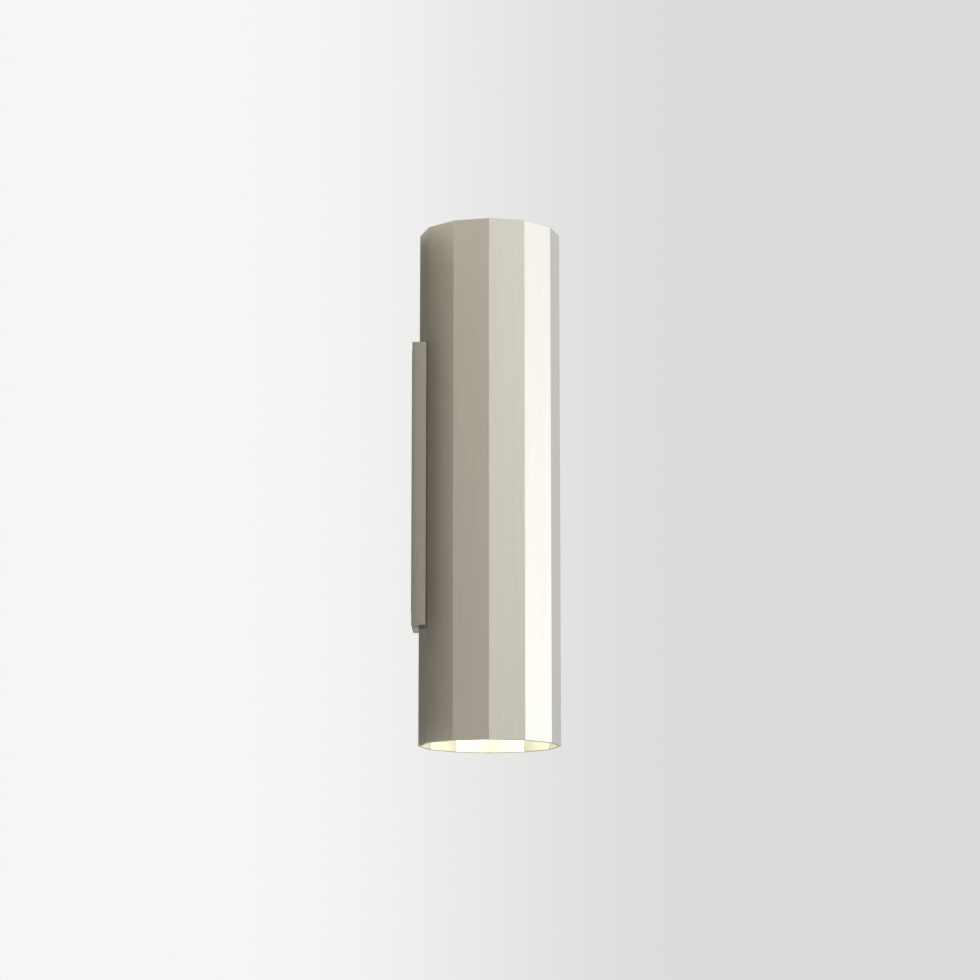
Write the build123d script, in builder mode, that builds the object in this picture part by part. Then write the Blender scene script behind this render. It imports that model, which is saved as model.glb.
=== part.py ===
from build123d import *
from math import cos, pi, radians, sin, tan
import os

# An up-and-down wall light: a twelve-sided metal tube, open at both ends, held a few millimetres
# off the wall by a slim V-fronted saddle, with one twist-in reflector lamp facing each way.
# Millimetres. The wall is the plane Y = 0, the light stands out towards -Y, and +Z is up.
# The origin is on the wall, behind the middle of the light.

# ---- Tube ----
tube_length = 300.0
tube_sides = 12
corner_radius = 40.75  # from the tube's axis to each of its corners
tube_wall = 1.5
corner_round = 0.4
rim_chamfer = 0.3
wall_gap = 4.0  # from the wall to the tube's rear corner
window_width = 30.0  # the wiring window in the tube's back and in the saddle
window_height = 112.0
window_round = 3.0

# ---- Saddle ----
saddle_width = 36.0
saddle_beyond_screw = 12.5  # from the saddle screws to the saddle's end
saddle_skin = 1.5
saddle_end = 4.5  # thickness of the solid ends that take the lock screws
saddle_reveal = 0.3  # shadow line between the saddle's rim and the wall
saddle_end_round = 0.9  # along the top and the bottom of its sides
saddle_front_chamfer = 0.4  # beside the tube

# ---- Wall bracket ----
strip_thickness = 1.5
strip_width = 29.0
strip_round = 2.0
tab_width = 5.0
tab_clearance = 0.4  # between a tab's tip and the inside of the saddle
hook_height = 1.9
hook_clearance = 0.4
slot_spacing = 90.0  # wall screws
slot_width = 4.6
slot_length = 10.0
cable_hole_radius = 6.0
cable_hole_height = -30.0
bracket_earth_height = 26.0
cable_radius = 4.0
bush_lip = 1.5  # how far the cable bush stands out past its hole, and above the strip
bush_bevel = 0.6

# ---- Fasteners ----
m3_radius = 1.5
m3_head_radius = 2.7
m3_head_height = 1.6
m4_radius = 2.0
m4_head_radius = 4.0
m4_head_height = 2.4
m25_radius = 1.25
m25_head_radius = 2.1
m25_head_height = 1.25
screw_bevel = 0.35  # at each screw's tip and round its head
driver_slot = 0.6
thread_gap = 0.05  # radial gap between a screw and the thread that it fills
screw_gap = 0.2  # radial gap between a screw and a hole that it only passes through
head_gap = 0.3  # radial gap around a screw's head
screw_reach = 3.0  # how far a sheet-metal screw comes through its sheet
lock_screw_sink = 0.4
lock_point_length = 1.4
lock_point_radius = 0.3
lock_hole_radius = 1.1  # in the bracket's tab, for the cone point
lock_socket_radius = 0.85
lock_socket_depth = 1.5
saddle_screw_side = 9.0  # sideways from the middle
screw_above_shelf = 8.5  # from a carrier's shelf to the saddle screws
nut_radius = 3.2
nut_height = 2.4

# ---- Carriers ----
carrier_sheet = 1.5
shelf_height = 60.0  # from the middle of the light to the near face of the shelf
shelf_clearance = 0.3
flange_width = 34.0
flange_height = 20.0
carrier_bend = 1.0  # inside radius
wire_slot_end = 3.8  # from a pin's axis to the end of the wires' slot
wire_slot_width = 5.7

# ---- Lampholders ----
holder_height = 18.0
holder_length = 30.0
holder_width = 20.0
holder_face = 3.0  # ceramic over the contact pockets
holder_chamfer = 0.8
holder_screw_side = 10.0
holder_ear = 9.0  # height of the two ears that the screw heads stand on
pocket_depth = 5.6
twist = 25.0  # degrees from locked to free
slot_gap = 0.3  # around a pin's neck, and under its head
pocket_gap = 0.4  # around a pin's head
spring_sheet = 0.4
spring_width = 2.4
spring_span = 4.2
spring_tail = 5.0
tail_width = 1.4

# ---- Lamps ----
pin_offset = 5.0  # from the lamp's axis to each pin
pin_neck_radius = 1.5
pin_head_radius = 2.5
pin_head_height = 3.0
pin_stem = 3.0  # inside the lamp's base
pin_bevel = 0.6
lamp_shoulder_gap = 0.3
base_radius = 12.5
base_height = 15.0
base_bevel = 1.0
base_neck_height = 9.0
base_collar_height = 3.0
base_collar_radius = 15.0
lamp_radius = 25.0
lamp_length = 46.0
rim_height = 5.0
core_radius = 13.0
fin_count = 24
fin_thickness = 1.2
fin_depth = 2.4
fin_neck = 6.0  # how far up the housing a fin's root reaches from its foot
fin_shoulder = 5.0  # below the rim, where a fin has come out to full width
fin_root = 1.0  # how far a fin is cast into the housing
fin_under_rim = 0.5
housing_waist = 0.5  # how hollow the housing's outline is
cup_depth = 13.5
cup_wall = 1.8
cup_taper = 3.0
cup_swell = 0.6
bezel_skin = 0.9
bezel_lip = 3.0
bezel_bevel = 0.6
bezel_foot = 0.8  # from the rim's foot to the bezel's
lens_thickness = 2.0
lens_dome = 0.8
lens_flat = 4.0  # radius of the flat in the middle of the dome
lens_gap = 0.3  # around the lens
dome_gap = 0.5  # between the dome and the bezel's lip
board_gap = 0.6
board_thickness = 1.2
led_count = 6
led_size = 3.2
led_height = 0.9
led_ring_radius = 10.5

# ---- Terminal block ----
block_pitch = 9.0
block_ways = 3
block_height = 20.0
block_depth = 13.0
block_base = 3.5
block_groove = 1.8
block_chamfer = 0.8
sleeve_out = 5.5  # from the block's back to the sleeves' axes
sleeve_radius = 2.3
sleeve_bore = 1.4
sleeve_length = 18.0
sleeve_gap = 0.1
clamp_screw_height = 5.0
clamp_head_radius = 1.9
clamp_head_height = 1.4

# ---- Wires ----
wire_radius = 0.95
wire_inside = 1.5  # from the block's middle to the wire's end in its sleeve
wire_lead = 10.0  # straight lead out of the terminal block
wire_end_gap = 0.3
wire_rise = 14.0  # straight run below a shelf
wire_bend = 12.0
earth_bend = 8.0
wire_hole_radius = 1.3
earth_side = 10.0
earth_out = 19.0  # from the wall to the earth wire's last run
lug_reach = 7.0
lug_thickness = 0.8
lug_width = 3.8
washer_radius = 3.6
washer_thickness = 0.6
washer_teeth = 12
washer_tooth = 0.8

# ---- Worked out from the values above ----
axis_y = -(wall_gap + corner_radius)
half_side = pi / tube_sides  # half the angle that one side covers
rear_slope = tan(half_side)  # how fast the two rear sides fall away from the wall
inner_flat = corner_radius * cos(half_side) - tube_wall
tube_axis = Axis((0, axis_y, 0), (0, 0, 1))
axis_plane = Plane(origin=(0, axis_y, 0), x_dir=(1, 0, 0), z_dir=(0, -1, 0))

shelf_top = shelf_height + carrier_sheet
saddle_screw_height = shelf_top + screw_above_shelf
saddle_top = saddle_screw_height + saddle_beyond_screw
saddle_inside = saddle_top - saddle_end
strip_front = Plane.XZ.offset(strip_thickness)
tab_side = strip_width / 2 - tab_width / 2
holder_top = shelf_top + holder_height
pocket_top = holder_top - holder_face
pocket_floor = pocket_top - pocket_depth
shoulder = holder_top + lamp_shoulder_gap
pin_head_top = pocket_top - slot_gap
lamp_face = shoulder + lamp_length
sleeve_y = -(strip_thickness + sleeve_out)
block_front = Plane.XZ.offset(strip_thickness + block_depth)


def out_from_wall(x, inside=0.0):
    """Distance from the wall of a plane that follows the tube's rear sides, that far inside them."""
    return wall_gap + abs(x) * rear_slope + inside / cos(half_side)


def vee_strip(half_width, outer, inner):
    """Section of a sheet bent round the tube's rear corner, between two depths inside the tube."""
    with BuildSketch() as strip:
        with BuildLine():
            Polyline(
                (-half_width, -out_from_wall(half_width, outer)),
                (0, -out_from_wall(0, outer)),
                (half_width, -out_from_wall(half_width, outer)),
                (half_width, -out_from_wall(half_width, inner)),
                (0, -out_from_wall(0, inner)),
                (-half_width, -out_from_wall(half_width, inner)),
                close=True,
            )
        make_face()
    return strip.sketch


def rear_plane(side, height, inside=0.0):
    """Plane across a saddle screw, that far inside the tube's outer face and facing out of it."""
    outer_face = Plane(
        origin=(side * saddle_screw_side, -out_from_wall(saddle_screw_side), height),
        x_dir=(0, 0, 1),
        z_dir=(side * sin(half_side), cos(half_side), 0),
    )
    return outer_face.offset(-inside)


def cheese_screw(radius, length, head_radius, head_height):
    """A slotted cheese-head screw: its head stands on the plane Z = 0 and its shank points down."""
    with BuildPart() as screw:
        with BuildSketch(Plane.XZ):
            with BuildLine():
                Polyline(
                    (0, -length),
                    (radius - screw_bevel, -length),
                    (radius, -length + screw_bevel),
                    (radius, 0),
                    (head_radius, 0),
                    (head_radius, head_height - screw_bevel),
                    (head_radius - screw_bevel, head_height),
                    (0, head_height),
                    close=True,
                )
            make_face()
        revolve(axis=Axis.Z)
        with BuildSketch(Plane.XY.offset(head_height)):
            Rectangle(2 * head_radius, driver_slot)
        extrude(amount=-head_height / 2, mode=Mode.SUBTRACT)
    return screw.part


def wire(name, route, radii):
    """A round wire along straight runs joined by arcs."""
    with BuildPart() as strand:
        with BuildLine() as path:
            FilletPolyline(*route, radius=radii)
        with BuildSketch(Plane(origin=path.line @ 0, z_dir=path.line % 0)):
            Circle(wire_radius)
        sweep()
    print(name, "length", round(path.wires()[0].length, 1), "bends", radii)
    return strand.part


def save(shape, name):
    shape.label = name
    export_step(shape, f"parts/{name}.step")


def turned_over(shape):
    """The same piece turned half round about the Y axis, for the other end of the light."""
    with BuildPart() as twin:
        add(shape, rotation=(0, 180, 0))
    return twin.part


def save_both_ways(shape, name):
    """Save a piece of the upper half, and its twin for the lower half."""
    save(shape, f"upper_{name}")
    save(turned_over(shape), f"lower_{name}")


os.makedirs("parts", exist_ok=True)
screw_heights = (-saddle_screw_height, saddle_screw_height)
screw_places = [(side, height) for side in (-1, 1) for height in screw_heights]

# ---- Faceted tube: one drawn profile, open at both ends, with a window and four holes at its back ----
with BuildPart() as faceted_tube:
    with BuildSketch(Plane.XY.offset(-tube_length / 2)):
        with Locations((0, axis_y)):
            RegularPolygon(corner_radius, tube_sides, rotation=90)
            RegularPolygon(inner_flat, tube_sides, major_radius=False, rotation=90, mode=Mode.SUBTRACT)
    extrude(amount=tube_length)
    corners = faceted_tube.edges().filter_by(Axis.Z).sort_by_distance((0, axis_y, 0))[-tube_sides:]
    fillet(corners, corner_round)
    ends = faceted_tube.edges().group_by(Axis.Z)
    chamfer(ends[0] + ends[-1], rim_chamfer)
    with BuildSketch(Plane.XZ):
        RectangleRounded(window_width, window_height, window_round)
    extrude(amount=-axis_y, mode=Mode.SUBTRACT)
    with Locations(*[rear_plane(side, height) for side, height in screw_places]):
        Hole(m3_radius + screw_gap, 2 * tube_wall)
save(faceted_tube.part, "faceted_tube")

# ---- Wall saddle: a tray whose front is bent to seat the tube's rear corner ----
with BuildPart() as wall_saddle:
    half_width = saddle_width / 2
    with BuildSketch(Plane.XY.offset(-saddle_top)):
        with BuildLine():
            Polyline(
                (-half_width, -saddle_reveal),
                (-half_width, -out_from_wall(half_width)),
                (0, -out_from_wall(0)),
                (half_width, -out_from_wall(half_width)),
                (half_width, -saddle_reveal),
                close=True,
            )
        make_face()
    extrude(amount=2 * saddle_top)
    sides = wall_saddle.faces().filter_by(Axis.X)
    chamfer(sides.edges().filter_by(Axis.Z).group_by(Axis.Y)[0], saddle_front_chamfer)
    sides = wall_saddle.faces().filter_by(Axis.X)
    fillet(sides.edges().filter_by(Axis.Y), saddle_end_round)
    with BuildSketch(Plane.XY.offset(-saddle_inside)):
        inner_half = half_width - saddle_skin
        with BuildLine():
            Polyline(
                (-inner_half, 0),
                (-inner_half, -out_from_wall(inner_half, -saddle_skin)),
                (0, -out_from_wall(0, -saddle_skin)),
                (inner_half, -out_from_wall(inner_half, -saddle_skin)),
                (inner_half, 0),
                close=True,
            )
        make_face()
    extrude(amount=2 * saddle_inside, mode=Mode.SUBTRACT)
    with BuildSketch(Plane.XZ):
        RectangleRounded(window_width, window_height, window_round)
    extrude(amount=-axis_y, mode=Mode.SUBTRACT)
    with Locations(*[rear_plane(side, height) for side, height in screw_places]):
        Hole(m3_radius + screw_gap, 2 * saddle_skin)

# A tab of the wall bracket stops short of the saddle's bent front.
tab_inner = tab_side - tab_width / 2
tab_depth = out_from_wall(tab_inner, -saddle_skin) - tab_clearance
hook_out = tab_depth - strip_thickness / 2
lock_out = (strip_thickness + tab_depth) / 2
lift_room = hook_height + 2 * hook_clearance
lower_tab = saddle_inside - lift_room

with wall_saddle:
    # Two tapped holes in the underside, and two pockets for the bracket's hooks at the top.
    with BuildSketch(Plane.XY.offset(-saddle_top)):
        with Locations((-tab_side, -lock_out), (tab_side, -lock_out)):
            Circle(m3_radius + thread_gap)
    extrude(amount=saddle_end, mode=Mode.SUBTRACT)
    with BuildSketch(Plane.XY.offset(saddle_inside)):
        with Locations((-tab_side, -hook_out), (tab_side, -hook_out)):
            Rectangle(tab_width + 2 * hook_clearance, strip_thickness + 2 * hook_clearance)
    extrude(amount=hook_height + hook_clearance, mode=Mode.SUBTRACT)
save(wall_saddle.part, "wall_saddle")

# ---- Wall bracket: a steel strip with hooked tabs at the top and drilled tabs at the bottom ----
with BuildPart() as wall_bracket:
    strip_height = saddle_inside + lower_tab
    with BuildSketch(Plane.XZ):
        with Locations((0, (saddle_inside - lower_tab) / 2)):
            RectangleRounded(strip_width, strip_height, strip_round)
    extrude(amount=strip_thickness)
    for side in (-1, 1):
        with BuildSketch(Plane.XY.offset(saddle_inside - strip_thickness)):
            with Locations((side * tab_side, -tab_depth / 2)):
                Rectangle(tab_width, tab_depth)
        extrude(amount=strip_thickness)
        with BuildSketch(Plane.XY.offset(saddle_inside)):
            with Locations((side * tab_side, -hook_out)):
                Rectangle(tab_width, strip_thickness)
        extrude(amount=hook_height)
        with BuildSketch(Plane.XY.offset(-lower_tab)):
            with Locations((side * tab_side, -tab_depth / 2)):
                Rectangle(tab_width, tab_depth)
            with Locations((side * tab_side, -lock_out)):
                Circle(lock_hole_radius, mode=Mode.SUBTRACT)
        extrude(amount=strip_thickness)
    with BuildSketch(Plane.XZ):
        with Locations((0, -slot_spacing / 2), (0, slot_spacing / 2)):
            SlotOverall(slot_length, slot_width, rotation=90)
        with Locations((0, cable_hole_height)):
            Circle(cable_hole_radius)
        with Locations((0, bracket_earth_height)):
            Circle(m4_radius + thread_gap)
        with Locations((-block_pitch / 2, 0), (block_pitch / 2, 0)):
            Circle(m25_radius + thread_gap)
    extrude(amount=strip_thickness, mode=Mode.SUBTRACT)
save(wall_bracket.part, "wall_bracket")

# ---- Lock screws: headless, with a cone point that enters the bracket's lower tab ----
with BuildPart() as lock_screws:
    lock_bottom = -saddle_top + lock_screw_sink
    lock_tip = -lower_tab + strip_thickness / 2
    for side in (-1, 1):
        place = Plane(origin=(side * tab_side, -lock_out, 0), x_dir=(1, 0, 0), z_dir=(0, -1, 0))
        with BuildSketch(place):
            with BuildLine():
                Polyline(
                    (0, lock_bottom),
                    (m3_radius, lock_bottom),
                    (m3_radius, lock_tip - lock_point_length),
                    (lock_point_radius, lock_tip),
                    (0, lock_tip),
                    close=True,
                )
            make_face()
        revolve(axis=Axis((side * tab_side, -lock_out, 0), (0, 0, 1)))
        with BuildSketch(Plane.XY.offset(lock_bottom)):
            with Locations((side * tab_side, -lock_out)):
                RegularPolygon(lock_socket_radius, 6)
        extrude(amount=lock_socket_depth, mode=Mode.SUBTRACT)
save(lock_screws.part, "lock_screws")

# ---- Saddle screws and press nuts: they clamp saddle, tube and carrier together ----
flange_inside = tube_wall + carrier_sheet
stack = saddle_skin + flange_inside
with BuildPart() as saddle_screws:
    with Locations(*[rear_plane(side, height, -saddle_skin) for side, height in screw_places]):
        add(cheese_screw(m3_radius, stack + nut_height, m3_head_radius, m3_head_height))
save(saddle_screws.part, "saddle_screws")

with BuildPart() as press_nuts:
    for side, height in screw_places:
        with BuildSketch(rear_plane(side, height, flange_inside)):
            RegularPolygon(nut_radius, 6)
            Circle(m3_radius + thread_gap, mode=Mode.SUBTRACT)
        extrude(amount=-nut_height)
save(press_nuts.part, "press_nuts")

# ---- Carriers: a bent flange against the tube's back and a shelf across the tube ----
holder_screws_at = [(0, axis_y - holder_screw_side), (0, axis_y + holder_screw_side)]
lug_screw_out = earth_out + lug_reach
with BuildPart() as carrier:
    with BuildSketch(Plane.XY.offset(shelf_height)):
        with Locations((0, axis_y)):
            RegularPolygon(inner_flat - shelf_clearance, tube_sides, major_radius=False, rotation=90)
        add(vee_strip(flange_width / 2, tube_wall, flange_inside))
    extrude(amount=carrier_sheet)
    with BuildSketch(Plane.XY.offset(shelf_top)):
        add(vee_strip(flange_width / 2, tube_wall, flange_inside))
    extrude(amount=flange_height)
    inside_corner = (0, -out_from_wall(0, flange_inside), shelf_top)
    level = carrier.edges().filter_by_position(Axis.Z, shelf_top, shelf_top)
    fillet(level.sort_by_distance(inside_corner)[:2], carrier_bend)
    fillet(carrier.edges().group_by(Axis.Z)[0].sort_by(Axis.Y)[-2:], carrier_bend + carrier_sheet)
    with BuildSketch(Plane.XY.offset(shelf_height)):
        with Locations((0, axis_y)):
            SlotOverall(2 * (pin_offset + wire_slot_end), wire_slot_width)
        with Locations(*holder_screws_at, (earth_side, -lug_screw_out)):
            Circle(m3_radius + thread_gap)
    extrude(amount=carrier_sheet, mode=Mode.SUBTRACT)
    with Locations(*[rear_plane(side, saddle_screw_height, tube_wall) for side in (-1, 1)]):
        Hole(m3_radius + screw_gap, 2 * carrier_sheet)
save_both_ways(carrier.part, "carrier")

# ---- Lampholders: ceramic bodies with an ear at each end and two keyhole slots over curved pockets ----
pin_angles = (0, 180)
with BuildPart() as lampholder:
    with BuildSketch(Plane.XY.offset(shelf_top)):
        with Locations((0, axis_y)):
            SlotOverall(holder_length, holder_width, rotation=90)
    extrude(amount=holder_height)
    block_length = 2 * (holder_screw_side - m3_head_radius - head_gap)
    with BuildSketch(Plane.XY.offset(shelf_top + holder_ear)):
        with Locations((0, axis_y)):
            Rectangle(holder_width, holder_length)
            Rectangle(holder_width, block_length, mode=Mode.SUBTRACT)
    extrude(amount=holder_height - holder_ear, mode=Mode.SUBTRACT)
    chamfer(lampholder.faces().sort_by(Axis.Z)[-1].edges(), holder_chamfer)
    for angle in pin_angles:
        turned = radians(angle + twist)
        arc = CenterArc((0, axis_y), pin_offset, angle, twist)
        with BuildSketch(Plane.XY.offset(pocket_floor)):
            SlotArc(arc, 2 * (pin_head_radius + pocket_gap))
        extrude(amount=pocket_depth, mode=Mode.SUBTRACT)
        with BuildSketch(Plane.XY.offset(pocket_top)):
            SlotArc(arc, 2 * (pin_neck_radius + slot_gap))
            with Locations((pin_offset * cos(turned), axis_y + pin_offset * sin(turned))):
                Circle(pin_head_radius + slot_gap)
        extrude(amount=holder_face, mode=Mode.SUBTRACT)
    with BuildSketch(Plane.XY.offset(shelf_top)):
        with Locations((-pin_offset, axis_y), (pin_offset, axis_y)):
            Circle(wire_hole_radius)
    extrude(amount=pocket_floor - shelf_top, mode=Mode.SUBTRACT)
    with Locations(*[(x, y, shelf_top + holder_ear) for x, y in holder_screws_at]):
        Hole(m3_radius + screw_gap, holder_ear)
save_both_ways(lampholder.part, "lampholder")

# ---- Contact springs: an arched leaf under each pin, with a tail down to the wire ----
arch_foot = pocket_floor + spring_sheet / 2
arch_top = pin_head_top - pin_head_height - slot_gap - spring_sheet / 2
with BuildPart() as contact_springs:
    for x in (-pin_offset, pin_offset):
        with BuildSketch(axis_plane):
            with BuildLine():
                ThreePointArc(
                    (x - spring_span / 2, arch_foot),
                    (x, arch_top),
                    (x + spring_span / 2, arch_foot),
                )
            trace(line_width=spring_sheet)
        extrude(amount=spring_width / 2, both=True)
        with BuildSketch(axis_plane):
            with Locations((x, pocket_floor - spring_tail / 2 + arch_top / 2 - pocket_floor / 2)):
                Rectangle(tail_width, spring_tail + arch_top - pocket_floor)
        extrude(amount=spring_sheet / 2, both=True)
save_both_ways(contact_springs.part, "contact_springs")

# ---- Holder screws ----
with BuildPart() as holder_screws:
    holder_shank = holder_ear + carrier_sheet + screw_reach
    with Locations(*[(x, y, shelf_top + holder_ear) for x, y in holder_screws_at]):
        add(cheese_screw(m3_radius, holder_shank, m3_head_radius, m3_head_height))
save_both_ways(holder_screws.part, "holder_screws")

# ---- Lamp base: moulded collar with two sockets for the pins ----
with BuildPart() as lamp_base:
    with BuildSketch(axis_plane):
        with BuildLine():
            Polyline(
                (0, shoulder),
                (base_radius - base_bevel, shoulder),
                (base_radius, shoulder + base_bevel),
                (base_radius, shoulder + base_neck_height),
                (base_collar_radius, shoulder + base_height - base_collar_height),
                (base_collar_radius, shoulder + base_height),
                (0, shoulder + base_height),
                close=True,
            )
        make_face()
    revolve(axis=tube_axis)
    with BuildSketch(Plane.XY.offset(shoulder)):
        with Locations((-pin_offset, axis_y), (pin_offset, axis_y)):
            Circle(pin_neck_radius + thread_gap)
    extrude(amount=pin_stem, mode=Mode.SUBTRACT)
save_both_ways(lamp_base.part, "lamp_base")

# ---- Lamp pins: a neck that slides in the keyhole and a head that it holds back ----
with BuildPart() as lamp_pins:
    for x in (-pin_offset, pin_offset):
        with BuildSketch(axis_plane):
            with BuildLine():
                Polyline(
                    (x, pin_head_top - pin_head_height),
                    (x + pin_head_radius - pin_bevel, pin_head_top - pin_head_height),
                    (x + pin_head_radius, pin_head_top - pin_head_height + pin_bevel),
                    (x + pin_head_radius, pin_head_top),
                    (x + pin_neck_radius, pin_head_top),
                    (x + pin_neck_radius, shoulder + pin_stem),
                    (x, shoulder + pin_stem),
                    close=True,
                )
            make_face()
        revolve(axis=Axis((x, axis_y, 0), (0, 0, 1)))
save_both_ways(lamp_pins.part, "lamp_pins")

# ---- Lamp housing: a cast cup with cooling fins round its neck ----
housing_foot = shoulder + base_height
rim_foot = lamp_face - rim_height
rim_radius = lamp_radius - bezel_skin
cup_radius = rim_radius - cup_wall
cup_floor = lamp_face - cup_depth
seat_radius = cup_radius - cup_taper
lens_seat = lamp_face - bezel_skin - lens_thickness
with BuildPart() as lamp_housing:
    with BuildSketch(axis_plane):
        with BuildLine():
            Line((0, housing_foot), (core_radius, housing_foot))
            ThreePointArc(
                (core_radius, housing_foot),
                ((core_radius + rim_radius) / 2 - housing_waist, (housing_foot + rim_foot) / 2),
                (rim_radius, rim_foot),
            )
            Polyline((rim_radius, rim_foot), (rim_radius, lens_seat), (0, lens_seat), (0, housing_foot))
        make_face()
    revolve(axis=tube_axis)
    with BuildSketch(axis_plane):
        with BuildLine():
            Polyline(
                (core_radius - fin_root, housing_foot),
                (core_radius + fin_depth, housing_foot),
                (rim_radius, rim_foot - fin_shoulder),
                (rim_radius, rim_foot + fin_under_rim),
                (rim_radius - fin_root, rim_foot + fin_under_rim),
                (core_radius - fin_root, housing_foot + fin_neck),
                close=True,
            )
        make_face()
    fin = extrude(amount=fin_thickness / 2, both=True, mode=Mode.PRIVATE)
    for number in range(fin_count):
        add(fin.rotate(tube_axis, number * 360 / fin_count))
    with BuildSketch(axis_plane):
        with BuildLine():
            Polyline((seat_radius, cup_floor), (0, cup_floor), (0, lens_seat), (cup_radius, lens_seat))
            ThreePointArc(
                (cup_radius, lens_seat),
                ((cup_radius + seat_radius) / 2 + cup_swell, (lens_seat + cup_floor) / 2),
                (seat_radius, cup_floor),
            )
        make_face()
    revolve(axis=tube_axis, mode=Mode.SUBTRACT)
save_both_ways(lamp_housing.part, "lamp_housing")

# ---- Lamp bezel: a ring pressed over the rim that keeps the lens in ----
with BuildPart() as lamp_bezel:
    with BuildSketch(axis_plane):
        with BuildLine():
            Polyline(
                (rim_radius + thread_gap, rim_foot + bezel_foot),
                (lamp_radius, rim_foot + bezel_foot),
                (lamp_radius, lamp_face - bezel_bevel),
                (lamp_radius - bezel_bevel, lamp_face),
                (cup_radius - bezel_lip + bezel_skin, lamp_face),
                (cup_radius - bezel_lip, lamp_face - bezel_skin),
                (rim_radius + thread_gap, lamp_face - bezel_skin),
                close=True,
            )
        make_face()
    revolve(axis=tube_axis)
save_both_ways(lamp_bezel.part, "lamp_bezel")

# ---- Lamp lens: a slightly domed disc on the rim ----
lens_top = lens_seat + lens_thickness
lens_window = cup_radius - bezel_lip - dome_gap
dome_start = (lens_flat, lens_top + lens_dome)
with BuildPart() as lamp_lens:
    with BuildSketch(axis_plane):
        with BuildLine():
            Polyline(
                (0, lens_seat),
                (rim_radius - lens_gap, lens_seat),
                (rim_radius - lens_gap, lens_top),
                (lens_window, lens_top),
            )
            TangentArc(dome_start, (lens_window, lens_top), tangent=(1, 0))
            Polyline(dome_start, (0, lens_top + lens_dome), (0, lens_seat))
        make_face()
    revolve(axis=tube_axis)
save_both_ways(lamp_lens.part, "lamp_lens")

# ---- LED board and its chips, on the floor of the cup ----
with BuildPart() as led_board:
    with BuildSketch(Plane.XY.offset(cup_floor)):
        with Locations((0, axis_y)):
            Circle(seat_radius - board_gap)
    extrude(amount=board_thickness)
save_both_ways(led_board.part, "led_board")

with BuildPart() as led_chips:
    with BuildSketch(Plane.XY.offset(cup_floor + board_thickness)):
        with Locations((0, axis_y)):
            Rectangle(led_size, led_size)
            with PolarLocations(led_ring_radius, led_count):
                Rectangle(led_size, led_size)
    extrude(amount=led_height)
save_both_ways(led_chips.part, "led_chips")

# ---- Terminal block: moulded body, one tower for each way, on the wall bracket ----
ways = [(way - (block_ways - 1) / 2) * block_pitch for way in range(block_ways)]
gaps = [(left + right) / 2 for left, right in zip(ways[:-1], ways[1:])]
block_seats = [Plane(origin=(x, -strip_thickness - block_base, 0), z_dir=(0, -1, 0)) for x in gaps]
with BuildPart() as terminal_block:
    with BuildSketch(strip_front):
        Rectangle(block_ways * block_pitch, block_height)
    extrude(amount=block_base)
    with BuildSketch(strip_front):
        with Locations(*[(x, 0) for x in ways]):
            Rectangle(block_pitch - block_groove, block_height)
    extrude(amount=block_depth)
    chamfer(terminal_block.faces().filter_by(Axis.Y).sort_by(Axis.Y)[:block_ways].edges(), block_chamfer)
    with BuildSketch(Plane.XY.offset(-block_height / 2)):
        with Locations(*[(x, sleeve_y) for x in ways]):
            Circle(sleeve_radius + sleeve_gap)
    extrude(amount=block_height, mode=Mode.SUBTRACT)
    with BuildSketch(block_front):
        with Locations(*[(x, z) for x in ways for z in (-clamp_screw_height, clamp_screw_height)]):
            Circle(clamp_head_radius + screw_gap)
    extrude(amount=-(block_depth - sleeve_out), mode=Mode.SUBTRACT)
    with Locations(*block_seats):
        Hole(m25_radius + screw_gap, block_base)
    with BuildSketch(Plane.XZ.offset(strip_thickness + block_base)):
        with Locations(*[(x, 0) for x in gaps]):
            Circle(m25_head_radius + head_gap)
    extrude(amount=block_depth, mode=Mode.SUBTRACT)
save(terminal_block.part, "terminal_block")

with BuildPart() as terminal_sleeves:
    with BuildSketch(Plane.XY.offset(-sleeve_length / 2)):
        with Locations(*[(x, sleeve_y) for x in ways]):
            Circle(sleeve_radius)
            Circle(sleeve_bore, mode=Mode.SUBTRACT)
    extrude(amount=sleeve_length)
    with BuildSketch(Plane.XZ.offset(-sleeve_y)):
        with Locations(*[(x, z) for x in ways for z in (-clamp_screw_height, clamp_screw_height)]):
            Circle(m25_radius + thread_gap)
    extrude(amount=sleeve_radius, mode=Mode.SUBTRACT)
save(terminal_sleeves.part, "terminal_sleeves")

with BuildPart() as clamp_screws:
    clamp_tip = -sleeve_y + wire_radius + thread_gap
    clamp_seat = -sleeve_y + sleeve_radius + 2 * thread_gap
    for x in ways:
        for z in (-clamp_screw_height, clamp_screw_height):
            with BuildSketch(Plane.XZ.offset(clamp_tip)):
                with Locations((x, z)):
                    Circle(m25_radius)
            extrude(amount=clamp_seat - clamp_tip)
            with BuildSketch(Plane.XZ.offset(clamp_seat)):
                with Locations((x, z)):
                    Circle(clamp_head_radius)
            extrude(amount=clamp_head_height)
            with BuildSketch(Plane.XZ.offset(clamp_seat + clamp_head_height)):
                with Locations((x, z)):
                    Rectangle(2 * clamp_head_radius, driver_slot)
            extrude(amount=-clamp_head_height / 2, mode=Mode.SUBTRACT)
save(clamp_screws.part, "clamp_screws")

with BuildPart() as block_screws:
    with Locations(*block_seats):
        add(cheese_screw(m25_radius, block_base + strip_thickness, m25_head_radius, m25_head_height))
save(block_screws.part, "block_screws")

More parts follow.
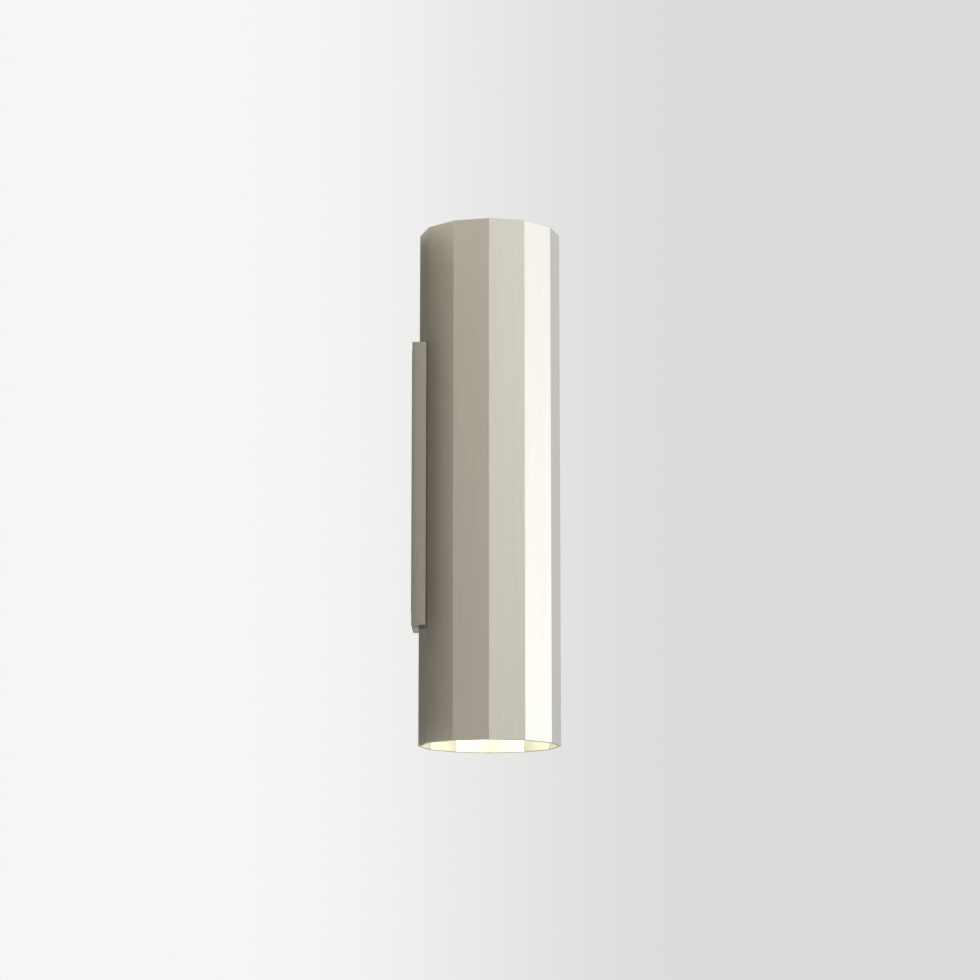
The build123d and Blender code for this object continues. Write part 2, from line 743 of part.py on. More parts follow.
# ---- Cable bush and the bracket's own earth screw ----
with BuildPart() as cable_bush:
    with BuildSketch(Plane.XZ):
        with Locations((0, cable_hole_height)):
            Circle(cable_hole_radius - thread_gap)
    extrude(amount=strip_thickness)
    with BuildSketch(strip_front):
        with Locations((0, cable_hole_height)):
            Circle(cable_hole_radius + bush_lip)
    extrude(amount=bush_lip)
    chamfer(cable_bush.faces().sort_by(Axis.Y)[0].edges(), bush_bevel)
    with BuildSketch(Plane.XZ):
        with Locations((0, cable_hole_height)):
            Circle(cable_radius)
    extrude(amount=strip_thickness + bush_lip, mode=Mode.SUBTRACT)
save(cable_bush.part, "cable_bush")

with BuildPart() as bracket_earth_screw:
    with Locations(Plane(origin=(0, -strip_thickness, bracket_earth_height), z_dir=(0, -1, 0))):
        add(cheese_screw(m4_radius, strip_thickness, m4_head_radius, m4_head_height))
save(bracket_earth_screw.part, "bracket_earth_screw")

# ---- Earth lug, washer and screw under the upper shelf ----
with BuildPart() as earth_lug:
    with BuildSketch(Plane.XY.offset(shelf_height - lug_thickness)):
        with Locations((earth_side, -lug_screw_out)):
            Circle(washer_radius)
        with Locations((earth_side, -(earth_out + lug_screw_out) / 2)):
            Rectangle(lug_width, lug_reach)
        with Locations((earth_side, -lug_screw_out)):
            Circle(m3_radius + screw_gap, mode=Mode.SUBTRACT)
    extrude(amount=lug_thickness)
    with BuildSketch(Plane.XY.offset(shelf_height)):
        with Locations((earth_side, -earth_out)):
            Circle(lug_width / 2)
    extrude(amount=-lug_reach)
    with BuildSketch(Plane.XY.offset(shelf_height - lug_reach)):
        with Locations((earth_side, -earth_out)):
            Circle(wire_radius + thread_gap)
    extrude(amount=lug_reach - 2 * lug_thickness, mode=Mode.SUBTRACT)
save(earth_lug.part, "earth_lug")

with BuildPart() as earth_washer:
    with BuildSketch(Plane.XY.offset(shelf_height - lug_thickness - washer_thickness)):
        with Locations((earth_side, -lug_screw_out)):
            Circle(washer_radius - washer_tooth / 2)
            with PolarLocations(washer_radius - washer_tooth / 2, washer_teeth):
                Rectangle(washer_tooth, washer_tooth)
            Circle(m3_radius + screw_gap, mode=Mode.SUBTRACT)
    extrude(amount=washer_thickness)
save(earth_washer.part, "earth_washer")

with BuildPart() as earth_screw:
    earth_seat = shelf_height - lug_thickness - washer_thickness
    earth_shank = shelf_top - earth_seat + screw_reach
    with Locations(Plane(origin=(earth_side, -lug_screw_out, earth_seat), z_dir=(0, 0, -1))):
        add(cheese_screw(m3_radius, earth_shank, m3_head_radius, m3_head_height))
save(earth_screw.part, "earth_screw")

# ---- Wires: from the sleeves out of the block, forward into the tube and up to the holders ----
lead_end = block_height / 2 + wire_lead
wire_end = pocket_floor - spring_tail - wire_end_gap
# Turned over, the live side's wire lies on the neutral side, so it is the lower neutral wire.
for name, opposite, block_side in (("live_wire", "neutral_wire", -1), ("neutral_wire", "live_wire", 1)):
    route = [
        (block_side * ways[-1], sleeve_y, wire_inside),
        (block_side * ways[-1], sleeve_y, lead_end),
        (block_side * pin_offset, axis_y, shelf_height - wire_rise),
        (block_side * pin_offset, axis_y, wire_end),
    ]
    upper = wire(name, route, (wire_bend, wire_bend))
    save(upper, f"upper_{name}")
    save(turned_over(upper), f"lower_{opposite}")

earth_route = [
    (0, sleeve_y, wire_inside),
    (0, sleeve_y, lead_end),
    (earth_side, -earth_out, shelf_height - lug_reach - wire_rise),
    (earth_side, -earth_out, shelf_height - 2 * lug_thickness - wire_end_gap),
]
save(wire("earth_wire", earth_route, (earth_bend, earth_bend)), "earth_wire")
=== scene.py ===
from math import cos, pi, radians

import bpy
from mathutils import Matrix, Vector


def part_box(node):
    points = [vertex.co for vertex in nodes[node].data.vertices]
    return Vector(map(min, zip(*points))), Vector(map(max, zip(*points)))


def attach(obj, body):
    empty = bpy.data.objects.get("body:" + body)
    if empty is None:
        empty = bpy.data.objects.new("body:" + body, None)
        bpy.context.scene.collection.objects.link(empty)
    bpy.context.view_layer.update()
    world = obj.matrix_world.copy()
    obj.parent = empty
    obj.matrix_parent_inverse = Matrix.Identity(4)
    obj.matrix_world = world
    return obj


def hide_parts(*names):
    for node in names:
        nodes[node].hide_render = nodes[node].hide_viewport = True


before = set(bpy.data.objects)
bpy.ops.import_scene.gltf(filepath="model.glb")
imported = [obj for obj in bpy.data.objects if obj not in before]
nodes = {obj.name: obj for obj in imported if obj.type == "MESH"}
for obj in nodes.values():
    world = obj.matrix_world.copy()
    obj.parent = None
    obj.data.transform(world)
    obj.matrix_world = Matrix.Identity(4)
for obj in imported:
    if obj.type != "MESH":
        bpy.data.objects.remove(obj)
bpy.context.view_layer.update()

# ---- The camera ----
# It stands almost against the wall and looks along it at the light's side, from a little below,
# through a long lens.
camera_place = (-1.834, -0.0636, -0.3285)
camera_heading = radians(0.583)  # from +X towards the wall
camera_pitch = radians(10.11)  # upwards
camera_lens = 118.36  # millimetres
camera_film = 36.0  # millimetres
camera_reach = 50.0  # past the far edge of the floor

camera = bpy.data.objects.new("camera", bpy.data.cameras.new("camera"))
bpy.context.scene.collection.objects.link(camera)
camera.data.sensor_width = camera_film
camera.data.lens = camera_lens
camera.data.clip_end = camera_reach
camera.location = camera_place
camera.rotation_euler = (pi / 2 + camera_pitch, 0.0, camera_heading - pi / 2)
bpy.context.scene.camera = camera

# ---- The studio's light ----
# A pale room. Its light is soft, strongest in front of the wall, and falls off towards the wall
# and beyond the lamp. The camera sees a plain pale backdrop in its place.
side_level = 0.37  # light from along the wall
side_tint = (1.0, 0.97, 0.91)
front_level = 1.46  # what the room in front adds to it
front_share = 0.76  # the part of that which grows evenly towards the front
front_swell = 0.27  # and the part which grows faster
front_tint = (0.97, 1.0, 1.06)
far_fall = 0.43  # less from beyond the lamp
sky_rise = 1.15  # more from above than from below
sky_step = 3.0  # how sharply that changes at eye level
sky_dim = 0.4  # a step down on the whole
sky_turn = 1.6  # in front it is the other way round
sky_calm = 0.4  # and beyond the lamp it changes less
brightest = 2.0
wall_backdrop = (0.92, 0.925, 0.915)
room_backdrop = (0.72, 0.71, 0.71)
backdrop_blend = (-0.06, 0.09)  # of the direction's Y, across the camera's view
framed_cone = (0.93, 0.98)  # of the direction's X, round the camera's view


class Signal:
    """An output of a shader node. Arithmetic on it adds Math nodes."""

    def __init__(self, shading, socket):
        self.shading = shading
        self.socket = socket

    def math(self, operation, *values):
        return self.shading.node("ShaderNodeMath", {"operation": operation}, dict(enumerate((self, *values))))

    def __add__(self, other):
        return self.math("ADD", other)

    def __sub__(self, other):
        return self.math("SUBTRACT", other)

    def __rsub__(self, other):
        return self.shading.node("ShaderNodeMath", {"operation": "SUBTRACT"}, {0: other, 1: self})

    def __mul__(self, other):
        return self.math("MULTIPLY", other)

    def __neg__(self):
        return self.math("MULTIPLY", -1.0)

    __radd__ = __add__
    __rmul__ = __mul__


class Shading:
    """The node tree of one finish. node() adds a node: its settings first, then its sockets."""

    def __init__(self, tree):
        self.tree = tree
        tree.nodes.clear()

    def node(self, kind, settings=None, sockets=None, output=0):
        made = self.tree.nodes.new(kind)
        for name, value in (settings or {}).items():
            setattr(made, name, value)
        for name, value in (sockets or {}).items():
            socket = made.inputs[name]
            if isinstance(value, Signal):
                self.tree.links.new(value.socket, socket)
            elif socket.type == "RGBA":
                socket.default_value = (*value, 1.0)
            else:
                socket.default_value = value
        return Signal(self, made.outputs[output]) if made.outputs else None


def coordinates(shading, vector, axes):
    """The named coordinates of a vector, each on its own."""
    return [shading.node("ShaderNodeSeparateXYZ", sockets={0: vector}, output=axis) for axis in axes]


def eased(shading, value, span, levels=(0.0, 1.0)):
    """A soft step: the first level below the span of value, and the second above it."""
    return shading.node(
        "ShaderNodeMapRange",
        {"interpolation_type": "SMOOTHSTEP"},
        {"Value": value, "From Min": span[0], "From Max": span[1], "To Min": levels[0], "To Max": levels[1]},
    )


def between(shading, share, first, second):
    """A colour that goes from the first to the second as share goes from 0 to 1."""
    return shading.node("ShaderNodeMix", {"data_type": "RGBA"}, {0: share, 6: first, 7: second}, output=2)


world = bpy.data.worlds.new("studio")
bpy.context.scene.world = world
world.use_nodes = True
studio = Shading(world.node_tree)
direction = studio.node("ShaderNodeTexCoord", output="Generated")
beyond, towards_wall, upwards = coordinates(studio, direction, "XYZ")
to_room = (-towards_wall).math("MAXIMUM", 0.0)
far = beyond.math("MAXIMUM", 0.0)
level = side_level + front_level * to_room * (front_share + front_swell * to_room)
rise = (sky_step * upwards).math("TANH") - sky_dim
rise = rise * (1.0 - sky_turn * to_room * to_room - sky_calm * far)
slope = (sky_rise * rise - far_fall * far).math("EXPONENT")
strength = (level * slope).math("MINIMUM", brightest)
tint = between(studio, to_room.math("MAXIMUM", far), side_tint, front_tint)
room_light = studio.node("ShaderNodeBackground", sockets={"Color": tint, "Strength": strength})

# The metal mirrors the backdrop where the camera sees it, and the room's light elsewhere.
backdrop = between(studio, eased(studio, towards_wall, backdrop_blend), room_backdrop, wall_backdrop)
shown = studio.node("ShaderNodeBackground", sockets={"Color": backdrop, "Strength": 1.0})
seen, through, mirrored = (
    studio.node("ShaderNodeLightPath", output=f"Is {kind} Ray")
    for kind in ("Camera", "Transmission", "Glossy")
)
framed = eased(studio, beyond, framed_cone)
shown_share = seen.math("MAXIMUM", through).math("MAXIMUM", mirrored * framed)
mixed = studio.node("ShaderNodeMixShader", sockets={0: shown_share, 1: room_light, 2: shown})
studio.node("ShaderNodeOutputWorld", sockets={"Surface": mixed})

# ---- The floor ----
# A pale, matt floor well below the light. It fades into the backdrop towards its edges, so that
# no edge shows from the side.
floor_drop = 1.2
floor_size = 12.0
floor_fade = (2.0, floor_size / 2)  # from the middle
floor_colour = (0.82, 0.815, 0.80)
matt_paint = 0.9


def finish(name):
    """A new material and the shading that its section wires up."""
    material = bpy.data.materials.new(name)
    material.use_nodes = True
    return material, Shading(material.node_tree)


def output(shading, surface):
    """End the shading of a finish at its surface."""
    shading.node("ShaderNodeOutputMaterial", sockets={"Surface": surface})


floor_finish, shading = finish("floor_pale")
place = shading.node("ShaderNodeTexCoord", output="Object")
away = shading.node("ShaderNodeVectorMath", {"operation": "LENGTH"}, {0: place}, output=1)
faded = eased(shading, away, floor_fade, (1.0, 0.0))
paint = shading.node(
    "ShaderNodeBsdfPrincipled", sockets={"Base Color": floor_colour, "Roughness": matt_paint, "Alpha": faded}
)
output(shading, paint)

bpy.ops.object.select_all(action="DESELECT")
bpy.ops.mesh.primitive_plane_add(size=floor_size, location=(0.0, 0.0, -floor_drop))
floor = bpy.context.object
floor.name = "floor"
floor.data.materials.append(floor_finish)

# ---- The wall cards ----
# Four pale cards stand where the wall would be, open behind the saddle. The camera doesn't see
# them, but the metal mirrors them. Their colour holds painted shade beside the saddle and painted
# light near the middle and towards the top, and the strips above and below the saddle glow with
# painted light.
card_size = 2.0
card_opening = (0.038, 0.167)  # wide and high
card_colour = (0.58, 0.557, 0.512)
# painted light: the cards' colour grows lighter upwards and near the middle
card_painted_light_slant = 0.5  # lighter upwards, for each metre
card_painted_light_reach = (0.03, 0.09)  # a little lighter within this of the middle
card_painted_light_level = 1.12
# painted shade: the cards' colour is made darker beside the saddle by this share
card_painted_shade = 0.45
card_painted_shade_side = (0.019, 0.032)  # the shade's edge, from the middle
card_painted_shade_end = (0.07, 0.10)  # and its upper and lower ends
# painted light: the strips of card above and below the saddle glow, though no lamp is there
strip_colour = (0.40, 0.38, 0.35)
strip_painted_glow = (1.0, 0.96, 0.88)
strip_painted_glow_level = 0.15


def tinted(shading, colour, tone):
    """A colour times a tone, which is a number or a colour."""
    settings = {"data_type": "RGBA", "blend_type": "MULTIPLY"}
    return shading.node("ShaderNodeMix", settings, {0: 1.0, 6: colour, 7: tone}, output=2)


card_finish, shading = finish("wall_pale")
place = shading.node("ShaderNodeTexCoord", output="Object")
across, height = coordinates(shading, place, "XZ")
across = across.math("ABSOLUTE")
# Painted shade beside the saddle, fading out above and below it, and painted light near the middle and
# upwards, all put into the cards' colour.
beside = eased(shading, across, card_painted_shade_side, (1.0, 0.0))
along = eased(shading, height.math("ABSOLUTE"), card_painted_shade_end, (1.0, 0.0))
painted_light_near = eased(shading, across, card_painted_light_reach, (card_painted_light_level, 1.0))
painted_light_and_shade = painted_light_near * (1.0 + card_painted_light_slant * height) * (1.0 - card_painted_shade * beside * along)
wall_colour = tinted(shading, card_colour, painted_light_and_shade)
paint = shading.node("ShaderNodeBsdfPrincipled", sockets={"Base Color": wall_colour, "Roughness": matt_paint})
output(shading, paint)

# The strips' finish glows: painted light.
painted_glow_finish, shading = finish("wall_painted_glow")
paint = shading.node(
    "ShaderNodeBsdfPrincipled",
    sockets={
        "Base Color": strip_colour,
        "Roughness": matt_paint,
        "Emission Color": strip_painted_glow,
        "Emission Strength": strip_painted_glow_level,
    },
)
output(shading, paint)

open_x, open_z = (size / 2 for size in card_opening)
edge = card_size / 2
for left, right, bottom, top, coat in (
    (-edge, -open_x, -edge, edge, card_finish),
    (open_x, edge, -edge, edge, card_finish),
    (-open_x, open_x, open_z, edge, painted_glow_finish),
    (-open_x, open_x, -edge, -open_z, painted_glow_finish),
):
    bpy.ops.object.select_all(action="DESELECT")
    bpy.ops.mesh.primitive_plane_add(
        size=1.0, location=((left + right) / 2, 0.0, (bottom + top) / 2), rotation=(pi / 2, 0.0, 0.0)
    )
    card = bpy.context.object
    card.scale = (right - left, top - bottom, 1.0)
    bpy.ops.object.transform_apply(location=True, rotation=True, scale=True)
    card.name = "wall_card"
    card.visible_camera = False
    card.data.materials.append(coat)

# ---- The faceted tube ----
# A drawn twelve-sided tube in warm nickel, brushed along its length before it is plated,
# so that its sides mirror the room softly and show faint upright lines. Its inside is matt.
tube_sides = 12
tube_colour = (0.60, 0.57, 0.505)
greener = (0.965, 1.01, 0.98)  # the plating drifts between these two
pinker = (1.035, 0.99, 1.02)
brush_depth = 0.00006
matt_inside = 0.6
skin = 0.0001  # the matt inside begins this far below the outer sides

low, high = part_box("faceted_tube")
tube_axis_y = (low.y + high.y) / 2
side_distance = (high.x - low.x) / 2 * cos(pi / tube_sides)  # from the axis to a side's middle


def wear(material, *names):
    """Give CAD pieces this finish."""
    for name in names:
        nodes[name].material_slots[0].material = material


def upright_lines(shading, pitch, stretch):
    """Noise drawn out along Z: pitch across the sides, and stretch times longer upwards."""
    place = shading.node("ShaderNodeTexCoord", output="Object")
    drawn = shading.node("ShaderNodeMapping", sockets={"Vector": place, "Scale": (1.0, 1.0, 1.0 / stretch)})
    return shading.node(
        "ShaderNodeTexNoise", sockets={"Vector": drawn, "Scale": 1.0 / pitch, "Detail": 3.0, "Roughness": 0.6}
    )


def brushed_nickel(name, colour, roughness, inside=None):
    """Brushed nickel. Within the radius inside, about the tube's axis, it is left matt."""
    material, shading = finish(name)
    coarse = upright_lines(shading, pitch=0.004, stretch=60.0)
    fine = upright_lines(shading, pitch=0.0006, stretch=150.0)
    stain = upright_lines(shading, pitch=0.03, stretch=3.0)
    streaks = eased(shading, upright_lines(shading, pitch=0.0010, stretch=24.0), (0.60, 0.69))
    drift = between(shading, upright_lines(shading, pitch=0.006, stretch=9.0), greener, pinker)
    tone = 0.92 + 0.08 * coarse + 0.08 * fine + 0.06 * streaks
    satin = roughness - 0.06 + 0.06 * fine + 0.06 * stain
    if inside:
        place = shading.node("ShaderNodeTexCoord", output="Object")
        x, y = coordinates(shading, place, "XY")
        y = y - tube_axis_y
        within = (x * x + y * y).math("SQRT").math("LESS_THAN", inside)
        satin = satin + (matt_inside - roughness) * within
    brushing = 0.7 * fine + 0.3 * coarse
    bump = shading.node(
        "ShaderNodeBump", sockets={"Strength": 0.12, "Distance": brush_depth, "Height": brushing}
    )
    metal = shading.node(
        "ShaderNodeBsdfPrincipled",
        sockets={
            "Base Color": tinted(shading, tinted(shading, colour, drift), tone),
            "Metallic": 1.0,
            "Roughness": satin,
            "Normal": bump,
        },
    )
    output(shading, metal)
    return material


tube_metal = brushed_nickel("brushed_nickel_tube", tube_colour, roughness=0.32, inside=side_distance - skin)
wear(tube_metal, "faceted_tube")

# ---- The wall saddle ----
# A shallow tray behind the tube, pressed from the same nickel, with a V front that seats the
# tube's rear corner and rounded edges all round.
# Its colour is set darker than the tube's: painted shade on the same nickel, for the saddle's place in the
# corner by the wall.
saddle_metal = brushed_nickel("brushed_nickel_saddle", (0.485, 0.455, 0.40), roughness=0.34)
wear(saddle_metal, "wall_saddle")

# ---- The wall bracket and the carriers ----
# Zinc-plated steel sheet: the bracket is screwed to the wall, and the two carriers stand across
# the tube. The plating has a dull grain with faint patches.
spangles = 500.0  # to the metre
clouds = 90.0
zinc_depth = 0.00005


def zinc(name, colour, roughness):
    """Zinc plating: fine spangles over broader clouds."""
    material, shading = finish(name)
    place = shading.node("ShaderNodeTexCoord", output="Object")
    spangle = shading.node("ShaderNodeTexVoronoi", sockets={"Vector": place, "Scale": spangles})
    cloud = shading.node("ShaderNodeTexNoise", sockets={"Vector": place, "Scale": clouds, "Detail": 4.0})
    tone = 0.90 + 0.12 * cloud + 0.05 * spangle
    bump = shading.node("ShaderNodeBump", sockets={"Strength": 0.15, "Distance": zinc_depth, "Height": cloud})
    metal = shading.node(
        "ShaderNodeBsdfPrincipled",
        sockets={
            "Base Color": tinted(shading, colour, tone),
            "Metallic": 1.0,
            "Roughness": roughness - 0.08 + 0.16 * cloud,
            "Normal": bump,
        },
    )
    output(shading, metal)
    return material


bracket_steel = zinc("zinc_sheet", (0.66, 0.67, 0.66), roughness=0.42)
wear(bracket_steel, "wall_bracket", "upper_carrier", "lower_carrier")

# ---- Screws and nuts ----
# Bright zinc-plated steel: the saddle screws with their press nuts, the two lock screws under
# the saddle, and the small screws of the holders, the block and the earth lug.
screw_steel = zinc("bright_zinc", (0.70, 0.70, 0.69), roughness=0.28)
wear(
    screw_steel,
    *("saddle_screws", "press_nuts", "lock_screws", "upper_holder_screws", "lower_holder_screws"),
    *("clamp_screws", "block_screws", "earth_screw", "earth_washer"),
)


# ---- Lampholders ----
# Ceramic, pressed in a die, fired and left unglazed: a slightly gritty white that is a little
# uneven. Each holder is screwed to its carrier.
def moulded(name, colour, roughness, grain, depth, spread=0.04):
    """A moulded or fired surface: its colour drifts by spread, and its grain is depth high."""
    material, shading = finish(name)
    place = shading.node("ShaderNodeTexCoord", output="Object")
    drift, grit = (
        shading.node("ShaderNodeTexNoise", sockets={"Vector": place, "Scale": scale, "Detail": detail})
        for scale, detail in ((0.25 / grain, 2.0), (1.0 / grain, 4.0))
    )
    tone = (1.0 - spread) + spread * drift + 0.5 * spread * grit
    bump = shading.node("ShaderNodeBump", sockets={"Strength": 0.3, "Distance": depth, "Height": grit})
    surface = shading.node(
        "ShaderNodeBsdfPrincipled",
        sockets={
            "Base Color": tinted(shading, colour, tone),
            "Roughness": roughness - 0.05 + 0.1 * grit,
            "Normal": bump,
        },
    )
    output(shading, surface)
    return material


ceramic = moulded("ceramic", (0.84, 0.82, 0.76), roughness=0.6, grain=0.0004, depth=0.00008)
wear(ceramic, "upper_lampholder", "lower_lampholder")

# ---- Contacts, pins, brass and the earth lug ----
# Rolled spring bronze for the contact leaves, nickelled brass pins on the lamps, turned brass for
# the terminal sleeves and the bracket's earth screw, and a tinned copper lug.
tool_marks = 0.0004


def plain_metal(name, colour, roughness):
    """Metal as it is rolled or turned, with fine marks."""
    material, shading = finish(name)
    place = shading.node("ShaderNodeTexCoord", output="Object")
    marks = shading.node(
        "ShaderNodeTexNoise", sockets={"Vector": place, "Scale": 1.0 / tool_marks, "Detail": 3.0}
    )
    metal = shading.node(
        "ShaderNodeBsdfPrincipled",
        sockets={
            "Base Color": tinted(shading, colour, 0.92 + 0.12 * marks),
            "Metallic": 1.0,
            "Roughness": roughness - 0.06 + 0.12 * marks,
        },
    )
    output(shading, metal)
    return material


spring_bronze = plain_metal("spring_bronze", (0.72, 0.50, 0.29), roughness=0.30)
wear(spring_bronze, "upper_contact_springs", "lower_contact_springs")
nickelled_brass = plain_metal("nickelled_pins", (0.74, 0.70, 0.60), roughness=0.24)
wear(nickelled_brass, "upper_lamp_pins", "lower_lamp_pins")
turned_brass = plain_metal("turned_brass", (0.76, 0.59, 0.30), roughness=0.28)
wear(turned_brass, "terminal_sleeves", "bracket_earth_screw")
tinned_copper = plain_metal("tinned_copper", (0.73, 0.72, 0.69), roughness=0.34)
wear(tinned_copper, "earth_lug")

# ---- Lamps ----
# Each lamp is a moulded base, a cast and powder-coated housing with cooling fins, and a white
# ring pressed over its rim. The optic and the lit board are inside.
lamp_moulding = moulded("lamp_moulding", (0.83, 0.83, 0.81), roughness=0.38, grain=0.0008, depth=0.00004)
wear(lamp_moulding, "upper_lamp_base", "lower_lamp_base")
powder_coat = moulded("powder_coat", (0.84, 0.84, 0.82), roughness=0.5, grain=0.0006, depth=0.0001)
wear(powder_coat, "upper_lamp_housing", "lower_lamp_housing")
lamp_ring = moulded("lamp_ring", (0.86, 0.86, 0.84), roughness=0.3, grain=0.0010, depth=0.00003)
wear(lamp_ring, "upper_lamp_bezel", "lower_lamp_bezel")
solder_mask = moulded("solder_mask", (0.86, 0.87, 0.85), roughness=0.35, grain=0.0010, depth=0.00003)
wear(solder_mask, "upper_led_board", "lower_led_board")

phosphor, shading = finish("phosphor")
glowing = shading.node(
    "ShaderNodeBsdfPrincipled",
    sockets={
        "Base Color": (0.90, 0.78, 0.30),
        "Roughness": 0.4,
        "Emission Color": (1.0, 0.93, 0.74),
        "Emission Strength": 2.0,
    },
)
output(shading, glowing)
wear(phosphor, "upper_led_chips", "lower_led_chips")

# ---- Lamp optics ----
# A disc behind each bezel, moulded in frosted acrylic, with a honeycomb of small domed lenses
# that spreads the light. It stands for the solid model's plain lens and has the same outline.
optic_pitch = 0.0036
optic_width = 0.0040  # each small lens laps over its neighbours
optic_rise = 0.00075
optic_disc = 0.0019
collar_radius = 0.0189  # a low collar round the small lenses, inside the bezel
collar_width = 0.0004
collar_rise = 0.0004
collar_slope = 0.0002
disc_sides = 72
ball_sides = 12
ball_rings = 8
smooth_below = radians(40.0)
facing_out = 0.9  # of a face's normal
middle_glow = (1.0, 0.94, 0.78)
edge_glow = (0.72, 0.60, 0.38)
glow_fade = (0.009, 0.019)  # from the middle
# painted shade: the small lenses' valleys glow at this share of their crests' light
painted_valley_level = 0.35  # of the light on the small lenses' crests

low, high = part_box("upper_lamp_lens")
middle = (low + high) / 2
disc_radius = (high.x - low.x) / 2
disc_top = low.z + optic_disc

frosted_lens, shading = finish("frosted_lens")
place = shading.node("ShaderNodeTexCoord", output="Object")
across, out, height = coordinates(shading, place, "XYZ")
out = out - middle.y
from_middle = (across * across + out * out).math("SQRT")
# Painted shade: the glow is dimmer in the valleys between the small lenses than on their crests.
painted_valley_shade = shading.node(
    "ShaderNodeMapRange",
    sockets={
        "Value": height.math("ABSOLUTE"),
        "From Min": disc_top,
        "From Max": disc_top + optic_rise,
        "To Min": painted_valley_level,
    },
)
glow = between(shading, eased(shading, from_middle, glow_fade), middle_glow, edge_glow)
frost = shading.node(
    "ShaderNodeBsdfPrincipled",
    sockets={
        "Base Color": (0.52, 0.51, 0.47),
        "Roughness": 0.22,
        "Transmission Weight": 0.1,
        "Emission Color": tinted(shading, glow, painted_valley_shade),
        "Emission Strength": 0.55,
    },
)
output(shading, frost)

# The disc, with the collar raised on its front by insets.
bpy.ops.object.select_all(action="DESELECT")
bpy.ops.mesh.primitive_cylinder_add(
    vertices=disc_sides,
    radius=disc_radius,
    depth=optic_disc,
    location=(middle.x, middle.y, disc_top - optic_disc / 2),
)
upper_optic = bpy.context.object
bpy.ops.object.transform_apply(location=True, rotation=True, scale=True)
bpy.ops.object.mode_set(mode="EDIT")
bpy.ops.mesh.select_mode(type="FACE")
bpy.ops.mesh.select_all(action="DESELECT")
bpy.ops.object.mode_set(mode="OBJECT")
for face in upper_optic.data.polygons:
    face.select = face.normal.z > facing_out
bpy.ops.object.mode_set(mode="EDIT")
bpy.ops.mesh.inset(thickness=disc_radius - collar_radius, depth=0.0)
bpy.ops.mesh.inset(thickness=collar_slope, depth=collar_rise)
bpy.ops.mesh.inset(thickness=collar_width, depth=0.0)
bpy.ops.mesh.inset(thickness=collar_slope, depth=-collar_rise)

# One small lens is a flattened ball let into the disc, and the others are its copies. They stand
# in rows, with every other row half a pitch to the side.
field = collar_radius - collar_width - 2 * collar_slope - optic_width / 2
row_pitch = optic_pitch * cos(pi / 6)
reach = int(field / row_pitch) + 1
spots = [
    Vector(((column + 0.5 * (row % 2)) * optic_pitch, row * row_pitch, 0.0))
    for row in range(-reach, reach + 1)
    for column in range(-reach, reach + 1)
]
spots = [Vector((middle.x, middle.y, disc_top)) + spot for spot in spots if spot.length < field]
bpy.ops.mesh.select_all(action="DESELECT")
bpy.ops.mesh.primitive_uv_sphere_add(
    segments=ball_sides, ring_count=ball_rings, radius=optic_width / 2, location=spots[0]
)
bpy.ops.transform.resize(value=(1.0, 1.0, 2 * optic_rise / optic_width), center_override=spots[0])
for last, spot in zip(spots, spots[1:]):
    bpy.ops.mesh.duplicate()
    bpy.ops.transform.translate(value=spot - last)
bpy.ops.object.mode_set(mode="OBJECT")
bpy.ops.object.shade_smooth_by_angle(angle=smooth_below)
upper_optic.data.materials.append(frosted_lens)

# The lower lamp is the same lamp turned over.
bpy.ops.object.duplicate()
lower_optic = bpy.context.object
bpy.ops.transform.rotate(value=pi, orient_axis="X", center_override=(middle.x, middle.y, 0.0))
bpy.ops.object.transform_apply(location=True, rotation=True, scale=True)
for end, optic in (("upper", upper_optic), ("lower", lower_optic)):
    optic.name = f"{end}_lamp_optic"
    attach(optic, f"{end}_lamp")
    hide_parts(f"{end}_lamp_lens")

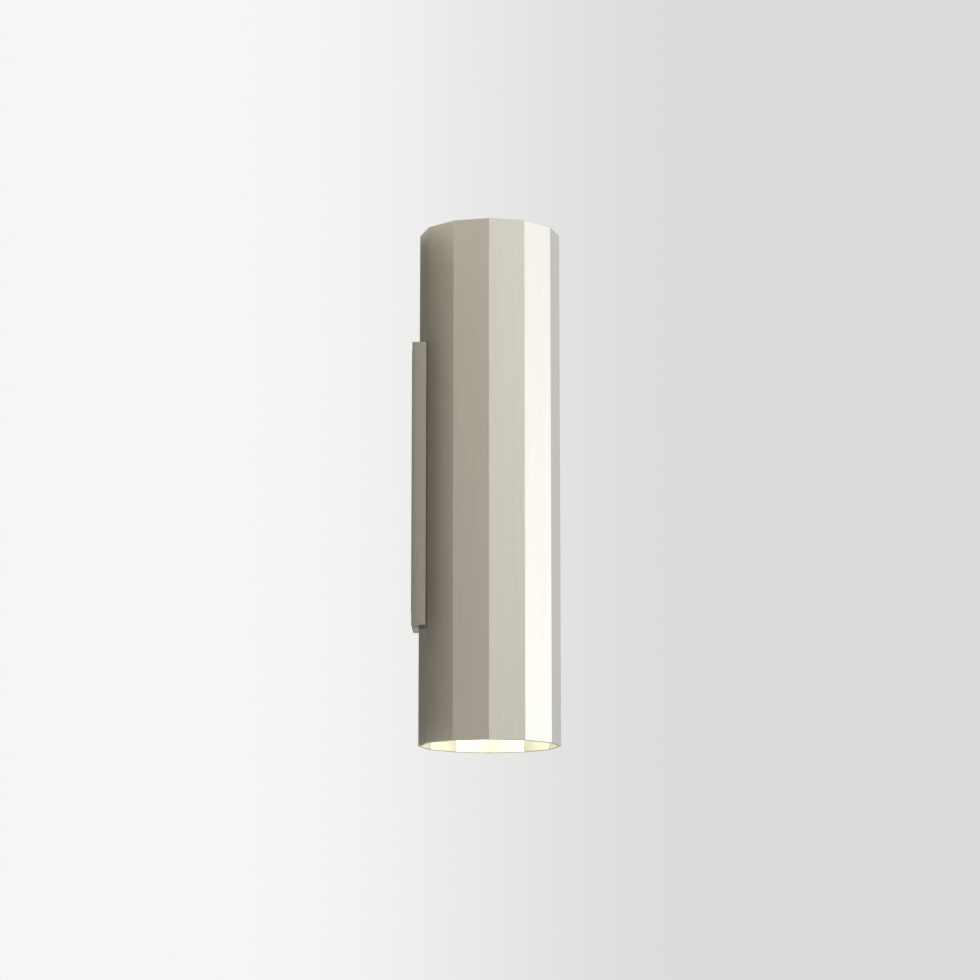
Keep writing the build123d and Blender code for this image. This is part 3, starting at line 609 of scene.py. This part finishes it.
# ---- The lamps' beams ----
# The light that each lamp throws out of its end of the tube, from a disc just in front of its
# optic. It gives the matt inside of the tube its yellow-green glow.
beam_power = 0.066  # watts
beam_radius = 0.02
beam_colour = (0.94, 1.0, 0.78)
beam_gap = 0.001
for name, up in (("upper_lamp_lens", 1), ("lower_lamp_lens", -1)):
    low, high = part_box(name)
    middle = (low + high) / 2
    front = high.z if up > 0 else low.z
    light = bpy.data.lights.new(name.replace("lens", "beam"), "AREA")
    light.shape = "DISK"
    light.size = 2 * beam_radius
    light.energy = beam_power
    light.color = beam_colour
    beam = bpy.data.objects.new(light.name, light)
    bpy.context.scene.collection.objects.link(beam)
    beam.location = (middle.x, middle.y, front + up * beam_gap)
    beam.rotation_euler = (pi if up > 0 else 0.0, 0.0, 0.0)
    beam.visible_camera = False

# ---- Terminal block ----
# Moulded in natural nylon, a little waxy, and fixed to the wall bracket with two screws. Its
# sleeves and clamp screws have their finishes above.
nylon = moulded("nylon", (0.82, 0.81, 0.76), roughness=0.42, grain=0.0008, depth=0.00004)
wear(nylon, "terminal_block")

# ---- Cable bush ----
# Black moulded rubber, pressed into the bracket's cable hole so that the sheet's edge doesn't
# cut the mains cable.
bush_rubber = moulded(
    "bush_rubber", (0.028, 0.028, 0.028), roughness=0.62, grain=0.0005, depth=0.00006, spread=0.2
)
wear(bush_rubber, "cable_bush")

# ---- Wires ----
# Stranded copper in silicone sleeves, clamped in the terminal block: brown and blue to each
# lampholder, and green with a yellow side to earth.
sleeve_satin = 0.45
for name, colour, wire in (
    ("brown_sleeve", (0.16, 0.07, 0.035), "live_wire"),
    ("blue_sleeve", (0.03, 0.12, 0.42), "neutral_wire"),
):
    silicone = moulded(name, colour, roughness=sleeve_satin, grain=0.001, depth=0.00003)
    wear(silicone, f"upper_{wire}", f"lower_{wire}")

sleeve_green = (0.10, 0.36, 0.06)
sleeve_yellow = (0.78, 0.66, 0.05)
yellow_edge = 0.2  # the yellow side is where the surface faces +X by more than this
earth_sleeve, shading = finish("earth_sleeve")
facing = shading.node("ShaderNodeTexCoord", output="Normal")
(side,) = coordinates(shading, facing, "X")
stripe = between(shading, side.math("GREATER_THAN", yellow_edge), sleeve_green, sleeve_yellow)
sleeve = shading.node("ShaderNodeBsdfPrincipled", sockets={"Base Color": stripe, "Roughness": sleeve_satin})
output(shading, sleeve)
wear(earth_sleeve, "earth_wire")

bpy.context.scene.view_settings.view_transform = "Standard"
